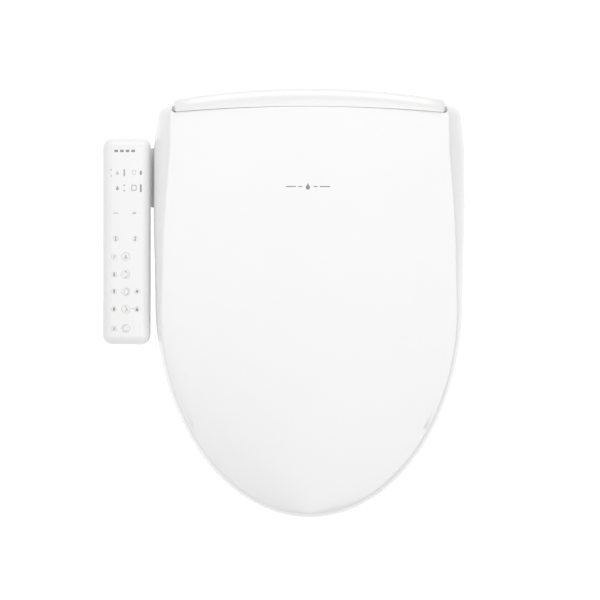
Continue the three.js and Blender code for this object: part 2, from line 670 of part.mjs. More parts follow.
function makeHousing() {
  const cordX = 120;
  const cordZ = 24;
  const backWallY = BODY_BACK_Y - (cordX * cordX) / (2 * STRIP_BACK_RADIUS);
  const trayOuter = upright(bodyOutline(0), BODY_BOTTOM_Z, SPLIT_Z);
  const trayInner = upright(bodyOutline(WALL), BODY_BOTTOM_Z + WALL, SPLIT_Z + 5)
    .subtract(midBox(PLATE_HALF + 3, -55, 80, 0, PLATE_TOP_Z + 3.4))
    .subtract(inletNotch(WALL));
  const posts = SIDES.map(([, side]) => {
    const post = turnedZ([[0, 2], [8, 2], [8, 9], [5, 12], [5, 46], [0, 46]], 0, 0, 12);
    return post.translate([SCREW_X * side, SCREW_Y, 0]);
  });
  const holes = SIDES.map(([, side]) => {
    const hole = turnedZ([[0, 0], [4.7, 0], [4.7, 6], [2.2, 6], [2.2, 62], [0, 62]], 0, 0, 12);
    return hole.translate([SCREW_X * side, SCREW_Y, 0]);
  });
  const tray = trayOuter
    .subtract(trayInner)
    .add(join(posts))
    .subtract(inletNotch(0))
    .subtract(plateSpace(0.7))
    .subtract(join(holes))
    .subtract(nozzlePassage())
    .subtract(box(PORT.x0, PORT.x1, -120, -100, PORT.z0, PORT.z1))
    .subtract(box(170, 200, -98.3, -79.7, 20.7, 31.3))
    .subtract(turnedY(discProfile(7 + GAP, 0, 20), INLET.x, INLET.z))
    .subtract(turnedY(discProfile(6 + GAP, 40, 60), cordX, cordZ));
  add('base_tray', tray, 'white');

  const plan = upright(bodyOutline(0), SPLIT_Z + GAP, 160);
  const innerPlan = upright(bodyOutline(WALL), SPLIT_Z - 5, 160);
  const outer = plan.intersect(shoulderBody(0).add(humpBody(0)));
  const cavity = innerPlan
    .intersect(shoulderBody(WALL).add(humpBody(WALL)))
    .subtract(pocket(WALL));
  const bosses = SIDES.map(([, side]) =>
    turnedZ(discProfile(5, SPLIT_Z + GAP, 70), SCREW_X * side, SCREW_Y, 12).intersect(outer));
  const bushHoles = turnedX(discProfile(BUSH_R + 0.4, -145, 145), AXIS_Y, AXIS_Z, 20);
  const barrel = turnedX(discProfile(BARREL_R, -HUMP_HALF, HUMP_HALF), AXIS_Y, AXIS_Z, 32);
  const underStrip = innerPlan.intersect(midBox(200, -50, 80, 40, SHOULDER_Z - WALL));
  const cover = outer
    .subtract(cavity)
    .add(join(bosses))
    .add(strip().subtract(underStrip).subtract(barrel))
    .subtract(pocket(0))
    .subtract(join(holes))
    .subtract(bushHoles);
  add('housing_cover', cover, 'white');

  for (const [name, side] of SIDES) {
    const profile = [[0, 2.5], [4.2, 2.5], [4.2, 5], [1.8, 5.6], [1.8, 58], [0, 59.5]];
    add(`housing_screw_${name}`, turnedZ(profile, SCREW_X * side, SCREW_Y, 12), 'steel');
    const pad = box(118, 172, -30, -14, 0, BODY_BOTTOM_Z - GAP);
    add(`base_pad_${name}`, mirrored(pad, side), 'rubber');
    const damper = turnedX([
      [0, 96], [9.4, 96], [9.4, 136.5], [BUSH_R + RUN, 136.5],
      [BUSH_R + RUN, 125], [PIN_R + RUN, 125], [PIN_R + RUN, 109], [0, 109],
    ], AXIS_Y, AXIS_Z, 20);
    add(`${side > 0 ? 'lid' : 'seat'}_damper`, mirrored(damper, side), 'dark');
  }

  const inlet = turnedY([
    [0, 4], [4, 4], [4, 8], [6.8, 8], [6.8, INLET.y + GAP], [12, INLET.y + GAP],
    [12, INLET.y + 4], [10, INLET.y + 5], [10, INLET.y + 24], [5.5, INLET.y + 24],
    [5.5, INLET.y + 10], [0, INLET.y + 10],
  ], INLET.x, INLET.z);
  add('water_inlet_connector', inlet, 'brass');

  const gland = turnedY([
    [3.5, 41], [8.5, 41], [8.5, backWallY - WALL - 1.4], [6, backWallY - WALL - 1.4],
    [6, backWallY + 1.3], [7.4, backWallY + 1.3], [5.6, backWallY + 4], [3.5, backWallY + 4], [3.5, 41],
  ], cordX, cordZ);
  add('cord_gland', gland, 'dark');
  makeWorks();
}

// Everything inside the housing that doesn't move.
function makeWorks() {
  const tank = join([
    box(-128, -62, -70, 0, 16, 74),
    box(-124, -66, -66, -4, 74, 78),
    turnedX(discProfile(4.5, -62, -58), -30, 66, 12),
  ]);
  add('water_heater_tank', tank, 'grey');

  const valve = join([
    box(-174, -142, -45, 0, 14, 36),
    turnedZ(discProfile(9, 36, 46), -158, -32, 14),
    turnedZ(discProfile(5, 36, 50), -158, -14, 12),
  ]);
  add('valve_block', valve, 'grey');

  const board = join([
    box(112, 172, -72, 25, 14, 15.6),
    box(118, 140, -66, -44, 15.6, 34),
    box(146, 168, -30, -6, 15.6, 27),
    box(118, 136, 0, 18, 15.6, 26),
    turnedZ(discProfile(8, 15.6, 40), 157, -54, 12),
    box(118, 138, -34, -24, 15.6, 18),
  ]);
  add('main_circuit_board', board, 'board');

  const { x, y, z, radius, half } = BLOWER;
  const scroll = turnedX(discProfile(radius, x - half, x + half), y, z, 24)
    .add(box(x - half, x + half, y - 38, y, z - radius, z - 10))
    .subtract(turnedX(discProfile(radius - 2, x - half + 2, x + half - 2), y, z, 24))
    .subtract(box(x - half + 2, x + half - 2, y - 45, y, z - radius + 2, z - 12))
    .subtract(turnedX(discProfile(14, x - half - 1, x - half + 3), y, z, 16))
    .subtract(turnedX(discProfile(3, x + half - 3, x + half + 1), y, z, 12));
  add('blower_housing', scroll, 'dark');
  const motor = turnedX(discProfile(15, x + half + GAP, x + half + 24), y, z, 20);
  add('blower_motor', motor, 'steel');

  const front = BODY_FRONT_Y + WALL + 1.5;
  const back = y - 38 - GAP;
  const walls = (x0, x1, t) => sideways([
    [front, PORT.z0 + t], [front, PORT.z1 - t], [back, z - 10 - t], [back, z - radius + t],
  ], x0, x1);
  const duct = walls(x - half, PORT.x1, 0).subtract(sideways([
    [front - 1, PORT.z0 + 1.5], [front - 1, PORT.z1 - 1.5],
    [back + 1, z - 12], [back + 1, z - radius + 2],
  ], x - half + 2, PORT.x1 - 2));
  add('dryer_duct', duct, 'grey');

  const tubes = {
    heater_feed_tube: [
      [-158, -14, 50.4], [-158, -14, 55], [-151, -15, 60], [-142, -16, 63], [-134.5, -17, 67],
      [-132.6, -18, 77], [-126, -19, 86], [-116, -20, 89], [-105, -20, 87], [-104, -20, 78.8],
    ],
    nozzle_feed_tube: [
      [-57.6, -30, 66], [-48, -30, 66], [-34, -27, 66], [-22, -23, 68], [-12, -21.4, 70],
    ],
  };
  for (const [name, route] of Object.entries(tubes)) {
    const path = new THREE.CatmullRomCurve3(route.map((p) => new THREE.Vector3(...p)));
    const circle = new THREE.Shape().absarc(0, 0, 3, 0, 2 * Math.PI);
    const options = { steps: 14, curveSegments: 4, extrudePath: path, bevelEnabled: false };
    add(name, toSolid(new THREE.ExtrudeGeometry(circle, options)), 'silicone');
  }
}

// ---------------------------------------------------------------- pieces that move in the housing

function makeNozzle() {
  const slope = new THREE.Group();
  slope.position.set(0, NOZZLE.y, NOZZLE.z);
  slope.rotation.x = rad(NOZZLE.slope);
  group.add(slope);
  const pitch = Math.PI * GEAR.module;
  const rackZ = NOZZLE.radius + 0.5;
  const pitchZ = rackZ + 3;
  const axisZ = pitchZ + (GEAR.module * GEAR.teeth) / 2;

  const tube = turnedY([[0, 28.3], [NOZZLE.radius, 28.3], [NOZZLE.radius, NOZZLE.length],
    [3, NOZZLE.length], [3, NOZZLE.length + 6], [0, NOZZLE.length + 6]], 0, 0, 16);
  const toothCount = 32;
  const firstTooth = GEAR.y - pitch;
  const bar = box(-3, 3, firstTooth - 2, firstTooth + toothCount * pitch, 4, rackZ + 1.4);
  const teeth = [];
  for (let i = 0; i < toothCount; i += 1) {
    const y = firstTooth + (i + 0.5) * pitch;
    const [root, tip] = [rackZ + 1, pitchZ + 0.75];
    const profile = [[y - 0.75, root], [y - 0.3, tip], [y + 0.3, tip], [y + 0.75, root]];
    teeth.push(sideways(profile, -3, 3));
  }
  add('nozzle_tube', join([tube, bar, ...teeth]), 'steel', slope);

  const tip = turnedY([[0, 2], [6.2, 2], [7, 5], [7, 28], [0, 28]], 0, 0, 16);
  const jets = [10, 15, 20].map((y) => turnedZ(discProfile(0.9, 4, 9), 0, y, 8));
  const flat = box(-5, 5, 6, 25, 6.3, 9);
  const shield = sideways([[-2.4, -11], [-0.4, -11], [-0.4, 14.5], [-2.4, 14.5]], -12, 12)
    .rotate([-NOZZLE.slope, 0, 0])
    .add(turnedY(discProfile(4, -1.5, 4), 0, 0, 12));
  add('nozzle_tip', tip.subtract(flat).subtract(join(jets)).add(shield), 'white', slope);

  const guide = join([
    box(-10.5, 10.5, 6, 118, -10.5, -8),
    box(-10.5, -8, 6, 118, -10.5, 3.5),
    box(8, 10.5, 6, 118, -10.5, 3.5),
    box(-10.5, 10.5, 6, 12, -14, -8),
  ]);
  add('nozzle_guide', guide, 'grey', slope);

  const wheel = [];
  const segmentAngle = (2 * Math.PI) / GEAR.teeth;
  const pitchRadius = (GEAR.module * GEAR.teeth) / 2;
  for (let i = 0; i < GEAR.teeth; i += 1) {
    const a = i * segmentAngle - Math.PI / 2;
    for (const [r, shift] of [[pitchRadius - 1.35, -0.3], [pitchRadius + 0.7, -0.07],
      [pitchRadius + 0.7, 0.07], [pitchRadius - 1.35, 0.3]]) {
      const at = a + shift * segmentAngle * (r > pitchRadius ? 1 : 0.75);
      wheel.push([GEAR.y + r * Math.cos(at), axisZ + r * Math.sin(at)]);
    }
  }
  const pinion = sideways(wheel, -3, 3).add(turnedX(discProfile(1.6, 3, 8), GEAR.y, axisZ, 12));
  add('nozzle_pinion', pinion, 'grey', slope);

  const motor = turnedX([
    [0, 8.3], [10, 8.3], [10, 26], [0, 26],
  ], GEAR.y, axisZ, 20).add(box(8.3, 11, GEAR.y - 4, GEAR.y + 17, axisZ - 4, axisZ + 4));
  add('nozzle_motor', motor, 'steel', slope);
}

function makeMovers() {
  const { x, y, z } = BLOWER;
  const blades = [];
  for (let i = 0; i < 12; i += 1) {
    const blade = box(x - 8, x + 6, 15, 25, -0.8, 0.8).translate([0, 0, 4]);
    blades.push(blade.rotate([i * 30, 0, 0]).translate([0, y, z]));
  }
  const wheel = turnedX([[0, x - 4], [6, x - 4], [7, x + 5], [26, x + 6], [26, x + 8], [2.6, x + 8],
    [2.6, x + 12.7], [0, x + 12.7]], y, z, 24);
  add('blower_impeller', join([wheel, ...blades]), 'white');

  const flap = box(PORT.x0 + 0.7, PORT.x1 - 0.7, -111.6, -109.9, PORT.z0 + 0.8, PORT.z1 - 2.6)
    .add(turnedX(discProfile(1.5, PORT.x0 + 0.7, PORT.x1 - 0.7), -110.4, PORT.z1 - 2.4, 10));
  add('dryer_flap', flap, 'white');

  const button = box(177, 187, -98, -80, 21, 31).add(box(150, 177, -91.5, -86.5, 23.5, 28.5));
  add('release_button', button, 'grey');

  const slots = SIDES.map(([, side]) => {
    const shape = new THREE.Shape();
    const reach = (BOLT_SLOT_LENGTH - BOLT_SLOT_WIDTH) / 2;
    shape.absarc(0, reach, BOLT_SLOT_WIDTH / 2, 0, Math.PI);
    shape.absarc(0, -reach, BOLT_SLOT_WIDTH / 2, Math.PI, 2 * Math.PI);
    const options = { depth: 20, bevelEnabled: false, curveSegments: 6 };
    const slot = new THREE.ExtrudeGeometry(shape, options);
    return toSolid(slot.translate((side * BOLT_SPACING) / 2, 0, -5));
  });
  const plate = midBox(90, -50, 42, 0, PLATE_TOP_Z)
    .add(midBox(PLATE_HALF, -50, 42, 4.5, PLATE_TOP_Z))
    .subtract(midBox(55, -34, 30, 5, 12))
    .subtract(join(slots));
  add('mounting_plate', plate, 'white');
}

// ---------------------------------------------------------------- side panel

function panelRing(inset, z) {
  const r = Math.max(1.2, PANEL.corner - inset);
  const points = [];
  const cx = PANEL.width / 2 - inset - r;
  const cy = PANEL.length / 2 - inset - r;
  for (const [sx, sy, start] of [[1, 1, 0], [-1, 1, 90], [-1, -1, 180], [1, -1, 270]]) {
    for (let a = 0; a <= 90; a += 22.5) {
      const angle = rad(start + a);
      points.push(new THREE.Vector3(sx * cx + r * Math.cos(angle), sy * cy + r * Math.sin(angle), z));
    }
  }
  return points;
}

const KEY_ROWS = { a: -18, b: -40, c: -61, d: -83, e: -107 }; // centre-column keys, in panel frame

// Every key: name, place in the panel's frame, and radius.
function keyList() {
  const keys = [['key_lid', -13.5, 4.5, 3.2], ['key_seat', 10.5, 4.5, 3.2]];
  for (const [row, y] of Object.entries(KEY_ROWS)) {
    keys.push([`key_${row}_centre`, -1, y, 5.2]);
    keys.push([`key_${row}_left`, -15.5, y, 3.2]);
  }
  keys.push(['key_c_right', 13, KEY_ROWS.c, 3.2], ['key_d_right', 13, KEY_ROWS.d, 3.2]);
  return keys;
}

function makePanel() {
  const tilted = new THREE.Group();
  tilted.position.set(PANEL.x, PANEL.y, PANEL.z);
  tilted.rotation.x = rad(PANEL.tilt);
  group.add(tilted);
  const seam = -18;

  const crown = [[0, seam], [0, -10], [1, -6], [3.4, -3], [7, -1], [11, 0]];
  const upperOuter = loft(crown.map(([inset, z]) => panelRing(inset, z)));
  const upperInner = loft(crown.map(([inset, z]) => {
    return panelRing(inset + 2.2, z === seam ? seam - 1 : z - 2.2);
  }));
  const keys = keyList();
  const keyHoles = keys.map(([, x, y, r]) => turnedZ(discProfile(r + 0.35, -8, 5), x, y, 12));
  const upper = upperOuter.subtract(upperInner).subtract(join(keyHoles));
  add('panel_upper_case', upper, 'panel', tilted);

  const bowl = [[9, -PANEL.height], [4, -PANEL.height + 1.5], [1.2, -PANEL.height + 5],
    [0, -PANEL.height + 11], [0, seam - GAP]];
  const lowerOuter = loft(bowl.map(([inset, z]) => panelRing(inset, z)));
  const lowerInner = loft(bowl.map(([inset, z]) => {
    return panelRing(inset + 2.2, z === seam - GAP ? seam + 1 : z + 2.2);
  }));
  add('panel_lower_case', lowerOuter.subtract(lowerInner), 'panel', tilted);

  const board = box(-24, 24, -122, 122, -16, -14.4);
  add('panel_circuit_board', board, 'board', tilted);

  for (const [name, x, y, r] of keys) {
    const cap = [[0, -12.6], [1.5, -12.6], [1.5, -5.2], [r + 1, -5.2], [r + 1, -3.9],
      [r, -3.9], [r, 0.25], [0, 0.25]];
    add(name, turnedZ(cap, x, y, 12), 'key', tilted);
  }

  const armX0 = PANEL.x + PANEL.width / 2 + GAP;
  const { y0, y1, z0, z1 } = ARM;
  const arm = box(armX0, -BODY_HALF - GAP, y0, y1, z0, z1)
    .subtract(box(armX0 - 1, -BODY_HALF + 1, y0 + 6, y1 - 6, z0 + 3, z1 - 3));
  add('panel_arm', arm, 'white');
}

makeHousing();
makeLid();
makeSeat();
makeNozzle();
makeMovers();
makePanel();

export default group;
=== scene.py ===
"""Electric bidet seat, seen straight from above: surfaces, materials, light and camera."""
import json
import math

import bmesh
import bpy
import numpy as np
from mathutils import Matrix, Vector


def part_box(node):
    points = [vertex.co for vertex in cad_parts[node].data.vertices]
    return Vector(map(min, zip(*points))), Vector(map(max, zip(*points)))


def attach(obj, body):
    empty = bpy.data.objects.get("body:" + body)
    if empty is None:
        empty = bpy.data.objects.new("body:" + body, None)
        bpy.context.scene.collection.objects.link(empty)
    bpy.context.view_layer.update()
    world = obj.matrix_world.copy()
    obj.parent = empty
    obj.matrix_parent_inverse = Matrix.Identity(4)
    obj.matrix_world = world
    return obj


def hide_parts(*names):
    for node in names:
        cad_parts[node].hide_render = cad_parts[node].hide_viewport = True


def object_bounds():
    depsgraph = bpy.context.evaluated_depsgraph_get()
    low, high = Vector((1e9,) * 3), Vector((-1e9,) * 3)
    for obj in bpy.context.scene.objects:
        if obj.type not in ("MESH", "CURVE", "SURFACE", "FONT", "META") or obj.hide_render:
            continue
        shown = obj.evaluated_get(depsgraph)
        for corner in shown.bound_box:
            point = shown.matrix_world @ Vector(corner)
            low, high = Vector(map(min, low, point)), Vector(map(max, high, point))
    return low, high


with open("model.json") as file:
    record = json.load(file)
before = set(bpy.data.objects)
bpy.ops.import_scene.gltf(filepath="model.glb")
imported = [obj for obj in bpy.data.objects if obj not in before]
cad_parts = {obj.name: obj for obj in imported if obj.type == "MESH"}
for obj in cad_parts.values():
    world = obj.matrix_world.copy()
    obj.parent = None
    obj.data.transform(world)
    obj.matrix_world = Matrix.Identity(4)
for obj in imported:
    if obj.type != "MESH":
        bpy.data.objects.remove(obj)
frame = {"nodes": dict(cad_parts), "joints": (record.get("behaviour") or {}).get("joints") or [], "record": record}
cad_low, cad_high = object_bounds()
NODES = frame["nodes"]
MM = 0.001

# ---------------------------------------------------------------- dimensions, in millimetres

lid_low, lid_high = (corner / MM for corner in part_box("lid_shell"))
FRONT_Y = lid_low.y
REAR_Y = lid_high.y  # back of the lid's ears
LID_TOP_Z = lid_high.z
LID_EDGE_FRONT_Z = lid_low.z
LID_EDGE_REAR_Z = LID_EDGE_FRONT_Z + 21
LID_FALL = 72  # drop of the top from back to front
LID_CROWN = 1.5  # height of the middle line above the crease
LID_WALL = 3
NOSE_Y = -201  # where the sides turn into the front half ellipse
NOSE_HALF_WIDTH = 190.8
CREASE_FRONT = 5.5  # how far the crease stands in from the outline
CREASE_REAR = 20
CORNER_R = 14  # plan radius at the lid's and seat's rear corners

JOINTS = {joint["name"]: joint for joint in frame["joints"]}
AXIS_Y, AXIS_Z = (value / MM for value in JOINTS["lid_hinge"]["pos_m"][1:])
EAR_R = REAR_Y - AXIS_Y
EAR_INNER_X = 172.5  # inner face of the ear, which the crease steps out to
CREASE_X = 168.9  # where the crease would be there without that step
KNUCKLE_X = 171  # inner face of the ear's knuckle
ABOVE_LID = 99  # a height that no part of the lid reaches
SEAM_Y = 37.6  # the seam between lid and strip, on the middle line
SEAM_RADIUS = 1850
SEAM_LAP = 0.92  # the lid's rounded edge reaches this far past the seam

seat_low, seat_high = (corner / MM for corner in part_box("seat_bottom_shell"))
SEAT_REAR_Y = seat_high.y
SEAT_BOTTOM_Z = seat_low.z
SEAT_SPLIT_Z = SEAT_BOTTOM_Z + 10
SEAT_TOP_FRONT = 44
SEAT_TOP_RISE = 20
SEAT_INSET = 4.5  # the ring stands in from the lid's outline
SEAT_WALL = 2.5
BRIDGE_RAISE = 32  # the ring's rear bridge is raised over the nozzle
HOLE_Y = -262
HOLE_HALF_WIDTH = 104
HOLE_HALF_LENGTH = 128
HOLE_POWER = 2.4  # of the superellipse: 2 is an ellipse, more is squarer
ARM_INNER_X, ARM_OUTER_X = 143.5, 159.5
PIN_R = 5
BUSH_R = 8
KNUCKLE_R = 12
GAP = 0.3

PANEL_CENTRE = Vector((-226.2, -129, 76))
PANEL_TILT = math.radians(4)
PANEL_HALF = (29.5, 128)
PANEL_HEIGHT = 44
PANEL_SEAM = -18  # below the panel's top
PANEL_CORNER = 12
PANEL_WALL = 2.2
KEY_GAP = 0.14
MARK_HALF_DEPTH = 0.03
PANEL = Matrix.Translation(PANEL_CENTRE) @ Matrix.Rotation(PANEL_TILT, 4, "X")


def smooth(value, low, high):
    """0 below low, 1 above high, and a smooth step between them."""
    share = np.clip((value - low) / (high - low), 0, 1)
    return share * share * (3 - 2 * share)


# ---------------------------------------------------------------- materials


def new_material(name):
    material = bpy.data.materials.new(name)
    material.use_nodes = True
    tree = material.node_tree
    return material, tree, tree.nodes["Principled BSDF"]


def add_node(tree, kind, **inputs):
    node = tree.nodes.new(kind)
    for key, value in inputs.items():
        node.inputs[key.replace("_", " ")].default_value = value
    return node


def moulded(name, colour, roughness, grain=900, bump=0.02, coat=0.0, mottle=0.02):
    """Moulded plastic or rubber: fine grain in its bump and gloss, slow drifts in its colour."""
    material, tree, shader = new_material(name)
    place = tree.nodes.new("ShaderNodeTexCoord")
    drift = add_node(tree, "ShaderNodeTexNoise", Scale=9.0, Detail=3.0)
    fine = add_node(tree, "ShaderNodeTexNoise", Scale=grain, Detail=4.0, Roughness=0.6)
    for noise in (drift, fine):
        tree.links.new(place.outputs["Object"], noise.inputs["Vector"])

    tint = tree.nodes.new("ShaderNodeValToRGB")
    tint.color_ramp.elements[0].position = 0.3
    tint.color_ramp.elements[0].color = (*[c * (1 - mottle) for c in colour], 1)
    tint.color_ramp.elements[1].position = 0.7
    tint.color_ramp.elements[1].color = (*colour, 1)
    tree.links.new(drift.outputs["Fac"], tint.inputs["Fac"])
    tree.links.new(tint.outputs["Color"], shader.inputs["Base Color"])

    gloss = tree.nodes.new("ShaderNodeMapRange")
    gloss.inputs["To Min"].default_value = roughness * 0.85
    gloss.inputs["To Max"].default_value = roughness * 1.15
    tree.links.new(fine.outputs["Fac"], gloss.inputs["Value"])
    tree.links.new(gloss.outputs["Result"], shader.inputs["Roughness"])

    relief = add_node(tree, "ShaderNodeBump", Strength=bump, Distance=0.0002)
    tree.links.new(fine.outputs["Fac"], relief.inputs["Height"])
    tree.links.new(relief.outputs["Normal"], shader.inputs["Normal"])
    shader.inputs["Coat Weight"].default_value = coat
    shader.inputs["Coat Roughness"].default_value = 0.12
    return material


def brushed(name, colour, roughness, across=(1, 1, 60)):
    """Brushed or drawn metal: streaks of roughness and bump, stretched along the piece."""
    material, tree, shader = new_material(name)
    place = tree.nodes.new("ShaderNodeTexCoord")
    stretch = tree.nodes.new("ShaderNodeMapping")
    stretch.inputs["Scale"].default_value = across
    streak = add_node(tree, "ShaderNodeTexNoise", Scale=40.0, Detail=6.0)
    tree.links.new(place.outputs["Object"], stretch.inputs["Vector"])
    tree.links.new(stretch.outputs["Vector"], streak.inputs["Vector"])
    gloss = tree.nodes.new("ShaderNodeMapRange")
    gloss.inputs["To Min"].default_value = roughness * 0.7
    gloss.inputs["To Max"].default_value = roughness * 1.4
    tree.links.new(streak.outputs["Fac"], gloss.inputs["Value"])
    tree.links.new(gloss.outputs["Result"], shader.inputs["Roughness"])
    relief = add_node(tree, "ShaderNodeBump", Strength=0.08, Distance=0.0001)
    tree.links.new(streak.outputs["Fac"], relief.inputs["Height"])
    tree.links.new(relief.outputs["Normal"], shader.inputs["Normal"])
    shader.inputs["Base Color"].default_value = (*colour, 1)
    shader.inputs["Metallic"].default_value = 1.0
    return material


def circuit(name):
    """Green solder mask crossed by slightly lighter copper tracks."""
    material, tree, shader = new_material(name)
    place = tree.nodes.new("ShaderNodeTexCoord")
    tracks = add_node(tree, "ShaderNodeTexBrick", Scale=160.0)
    tracks.inputs["Color1"].default_value = (0.02, 0.16, 0.06, 1)
    tracks.inputs["Color2"].default_value = (0.02, 0.13, 0.05, 1)
    tracks.inputs["Mortar"].default_value = (0.05, 0.26, 0.11, 1)
    tree.links.new(place.outputs["Object"], tracks.inputs["Vector"])
    tree.links.new(tracks.outputs["Color"], shader.inputs["Base Color"])
    shader.inputs["Roughness"].default_value = 0.35
    return material


def foil(name):
    """Aluminium foil with the ridges of the heating wire under it."""
    material, tree, shader = new_material(name)
    place = tree.nodes.new("ShaderNodeTexCoord")
    wire = add_node(tree, "ShaderNodeTexWave", Scale=28.0, Distortion=1.5)
    relief = add_node(tree, "ShaderNodeBump", Strength=0.6, Distance=0.0006)
    tree.links.new(place.outputs["Object"], wire.inputs["Vector"])
    tree.links.new(wire.outputs["Fac"], relief.inputs["Height"])
    tree.links.new(relief.outputs["Normal"], shader.inputs["Normal"])
    shader.inputs["Base Color"].default_value = (0.72, 0.72, 0.74, 1)
    shader.inputs["Metallic"].default_value = 1.0
    shader.inputs["Roughness"].default_value = 0.35
    return material


WHITE = (0.86, 0.86, 0.858)
MATERIALS = {
    "white_gloss": moulded("white_gloss", WHITE, 0.24, grain=700, bump=0.015, coat=0.25,
                           mottle=0.012),
    "panel_white": moulded("panel_white", WHITE, 0.34, grain=1400, bump=0.04),
    "key_white": moulded("key_white", (0.85, 0.85, 0.85), 0.38, grain=1600, bump=0.05),
    "white_matte": moulded("white_matte", (0.8, 0.8, 0.8), 0.5, bump=0.06),
    "grey_plastic": moulded("grey_plastic", (0.55, 0.56, 0.57), 0.45, bump=0.08),
    "dark_plastic": moulded("dark_plastic", (0.035, 0.036, 0.04), 0.5, bump=0.1, mottle=0.2),
    "pale_rubber": moulded("pale_rubber", (0.6, 0.6, 0.59), 0.75, grain=500, bump=0.2,
                           mottle=0.06),
    "steel": brushed("steel", (0.62, 0.62, 0.63), 0.28),
    "brass": brushed("brass", (0.66, 0.52, 0.25), 0.3, across=(1, 60, 1)),
    "heater_foil": foil("heater_foil"),
    "circuit_board": circuit("circuit_board"),
    "silicone_tube": moulded("silicone_tube", (0.75, 0.78, 0.79), 0.3, bump=0.03),
}
PRINT, PRINT_MID, PRINT_PALE = (
    moulded(name, colour, 0.5, grain=2500, bump=0.02, mottle=0.1)
    for name, colour in (
        ("print_grey", (0.3, 0.3, 0.31)),
        ("print_mid", (0.42, 0.42, 0.43)),
        ("print_pale", (0.58, 0.58, 0.59)),
    )
)


# ---------------------------------------------------------------- mesh helpers


def link(name, mesh, body, slot, material=None):
    """A new piece in the row frame, with its finish, riding on its CAD body."""
    piece = bpy.data.objects.new(name, mesh)
    bpy.context.scene.collection.objects.link(piece)
    piece.data.materials.clear()
    piece.data.materials.append(material or MATERIALS[slot])
    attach(piece, body)
    return piece


def tidy_mesh(mesh, merge=1e-5):
    """Joins doubled points and turns all faces outwards."""
    bm = bmesh.new()
    bm.from_mesh(mesh)
    bmesh.ops.remove_doubles(bm, verts=bm.verts, dist=merge)
    bmesh.ops.dissolve_degenerate(bm, edges=bm.edges, dist=merge)
    bmesh.ops.recalc_face_normals(bm, faces=bm.faces)
    bm.to_mesh(mesh)
    bm.free()
    return mesh


def grid_mesh(name, rings, closed=False, loop=False):
    """Quads between rows of points (millimetres): closed joins each row's ends, loop the rows'."""
    rings = np.asarray(rings, float) * MM
    rows, count = rings.shape[:2]
    faces = []
    for r in range(rows if loop else rows - 1):
        s = (r + 1) % rows
        for i in range(count if closed else count - 1):
            j = (i + 1) % count
            faces.append((r * count + i, r * count + j, s * count + j, s * count + i))
    mesh = bpy.data.meshes.new(name)
    mesh.from_pydata(rings.reshape(-1, 3).tolist(), [], faces)
    return mesh


def cap_rows(mesh, *rows):
    """Closes rows of a closed grid mesh with one face each; a row is (first point, count)."""
    bm = bmesh.new()
    bm.from_mesh(mesh)
    bm.verts.ensure_lookup_table()
    for first, count in rows:
        bm.faces.new([bm.verts[first + i] for i in range(count)])
    bm.to_mesh(mesh)
    bm.free()
    return mesh


def shade(piece, angle):
    """Smooth shading, with a crisp edge wherever faces meet at more than this many degrees."""
    mesh = piece.data
    mesh.shade_smooth()
    mesh.set_sharp_from_angle(angle=math.radians(angle))


def bevel(piece, width, segments, angle):
    """Rounds the edges whose faces meet at more than this many degrees."""
    modifier = piece.modifiers.new("bevel", "BEVEL")
    modifier.width = width * MM
    modifier.segments = segments
    modifier.limit_method = "ANGLE"
    modifier.angle_limit = math.radians(angle)
    modifier.use_clamp_overlap = True
    modifier.harden_normals = True


def spline(points, steps):
    """A smooth curve through the points: Catmull-Rom, with steps pieces between each pair."""
    p = np.asarray(points, float)
    p = np.vstack([2 * p[0] - p[1], p, 2 * p[-1] - p[-2]])
    t = np.linspace(0, 1, steps, endpoint=False)[:, None]
    curve = []
    for a, b, c, d in zip(p, p[1:], p[2:], p[3:]):
        curve.append(0.5 * (2 * b + (c - a) * t + (2 * a - 5 * b + 4 * c - d) * t**2
                            + (3 * b - a - 3 * c + d) * t**3))
    return np.vstack([*curve, p[-2]])


def rounded_box(x, y, half_x, half_y, r, steps):
    """Outline of a box round (x, y), with corners of radius r."""
    points = []
    for sx, sy, start in ((1, 1, 0), (-1, 1, 90), (-1, -1, 180), (1, -1, 270)):
        for a in np.radians(np.linspace(start, start + 90, steps)):
            points.append((x + sx * (half_x - r) + r * math.cos(a),
                           y + sy * (half_y - r) + r * math.sin(a)))
    return points


# ---------------------------------------------------------------- shape of the lid


def seam_y(x):
    """The seam between the lid and the housing's strip, bowed towards the back."""
    return SEAM_Y - x * x / (2 * SEAM_RADIUS)


def half_width(y):
    return NOSE_HALF_WIDTH + 2.1 * smooth(y, NOSE_Y, -87) - 4.3 * smooth(y, -20, 40)


def crease_inset(y):
    """How far the crease stands in from the outline, until it steps out to the ear's inner face."""
    along = np.clip((y + 300) / 287, 0, 1)
    ear_step = (EAR_INNER_X - CREASE_X) * smooth(y, -20, 31)
    return CREASE_FRONT + (CREASE_REAR - CREASE_FRONT) * along**1.8 - ear_step


def lid_top_z(y):
    return LID_TOP_Z - LID_FALL * np.maximum(0, (REAR_Y - y) / (REAR_Y - FRONT_Y)) ** 1.25


def crease_z(y):
    return lid_top_z(y) - LID_CROWN


def skirt_foot_z(y):
    along = np.clip((y - FRONT_Y) / (SEAT_REAR_Y - FRONT_Y), 0, 1)
    return LID_EDGE_FRONT_Z + (LID_EDGE_REAR_Z - LID_EDGE_FRONT_Z) * along**1.3


def ear_reach(y):
    """Half the height of the round ear at y."""
    return np.sqrt(np.maximum(0, EAR_R**2 - np.clip(y - AXIS_Y, -EAR_R, EAR_R) ** 2))


